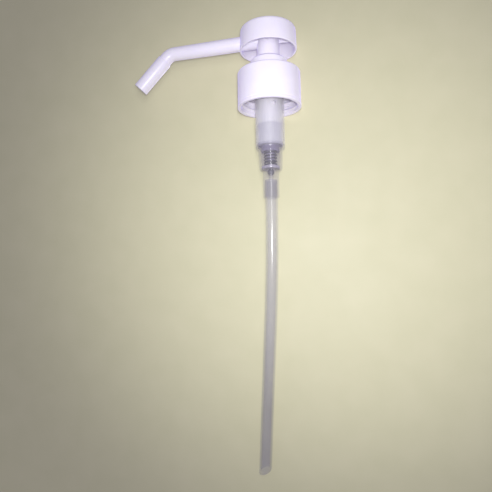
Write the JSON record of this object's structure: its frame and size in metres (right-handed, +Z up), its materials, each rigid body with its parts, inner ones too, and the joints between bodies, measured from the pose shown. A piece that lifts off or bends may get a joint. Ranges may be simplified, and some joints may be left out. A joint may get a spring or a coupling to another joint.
{
  "type": "dispensing pump",
  "caption": "Hand plunger pump for a threaded bottle neck: drum head, long bent spout, screw closure, translucent barrel with spring and ball valve, and a dip tube.",
  "frame": {"origin": "centre of the gasket's underside, on the pump's axis: the plane the bottle's neck ends on", "axes": "+Z up the pump's axis, towards the head; -X the way the spout points"},
  "size_m": [0.1004, 0.037, 0.2609],
  "materials": {
    "white_pp": "moulded polypropylene, semi-gloss white",
    "seal_pe": "soft polyethylene, natural white",
    "gasket_foam": "foamed polyethylene sheet",
    "natural_pp": "natural polypropylene, milky and translucent",
    "tube_pe": "natural polyethylene, milky and translucent",
    "spring_steel": "drawn stainless wire",
    "ball_steel": "polished stainless"
  },
  "bodies": {
    "frame": {"housing": "natural_pp", "lock_collar": "white_pp", "neck_gasket": "gasket_foam", "spring": "spring_steel", "spring_seat": "seal_pe", "dip_tube": "tube_pe"},
    "closure": {"closure": "white_pp"},
    "stem": {"upper_stem": "white_pp", "lower_stem": "seal_pe"},
    "head": {"head_cap": "white_pp", "spout_arm": "white_pp", "spout_tip": "white_pp"},
    "piston": {"piston": "seal_pe"},
    "inlet_ball": {"inlet_ball": "ball_steel"}
  },
  "joints": [
    {"name": "closure_spin", "type": "hinge", "parent": "frame", "child": "closure", "pos_m": [0, 0, 0], "axis": [0, 0, 1], "continuous": true},
    {"name": "plunger_slide", "type": "slide", "parent": "frame", "child": "stem", "axis": [0, 0, 1], "range_m": [0, 0.022], "deforming": ["spring"]},
    {"name": "head_turn", "type": "hinge", "parent": "stem", "child": "head", "pos_m": [0, 0, 0], "axis": [0, 0, 1], "continuous": true},
    {"name": "piston_slip", "type": "slide", "parent": "stem", "child": "piston", "axis": [0, 0, 1], "range_m": [-0.0012, 0]},
    {"name": "inlet_ball_lift", "type": "slide", "parent": "frame", "child": "inlet_ball", "axis": [0, 0, 1], "range_m": [0, 0.0014]}
  ]
}
